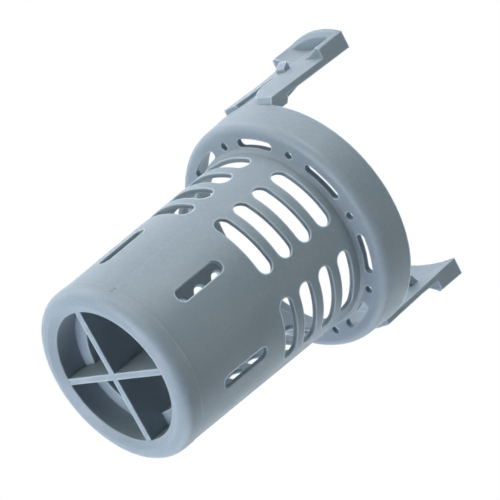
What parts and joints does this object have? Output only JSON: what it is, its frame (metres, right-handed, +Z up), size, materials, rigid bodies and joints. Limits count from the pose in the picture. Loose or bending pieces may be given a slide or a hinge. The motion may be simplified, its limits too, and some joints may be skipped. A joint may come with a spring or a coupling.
{
  "type": "dishwasher filter",
  "caption": "Moulded plastic filter cup: a slotted, slightly tapered tube with a cross at its foot and a cup-shaped collar with upright grip lugs on top.",
  "frame": {"origin": "centre of the foot's lowest ring, on the tube's axis", "axes": "+Z up along the tube's axis from the foot to the lugs, +X towards one lug"},
  "size_m": [0.0934, 0.08, 0.1297],
  "materials": {
    "plastic": "satin"
  },
  "bodies": {
    "root": {"filter_body": "plastic"}
  },
  "joints": []
}
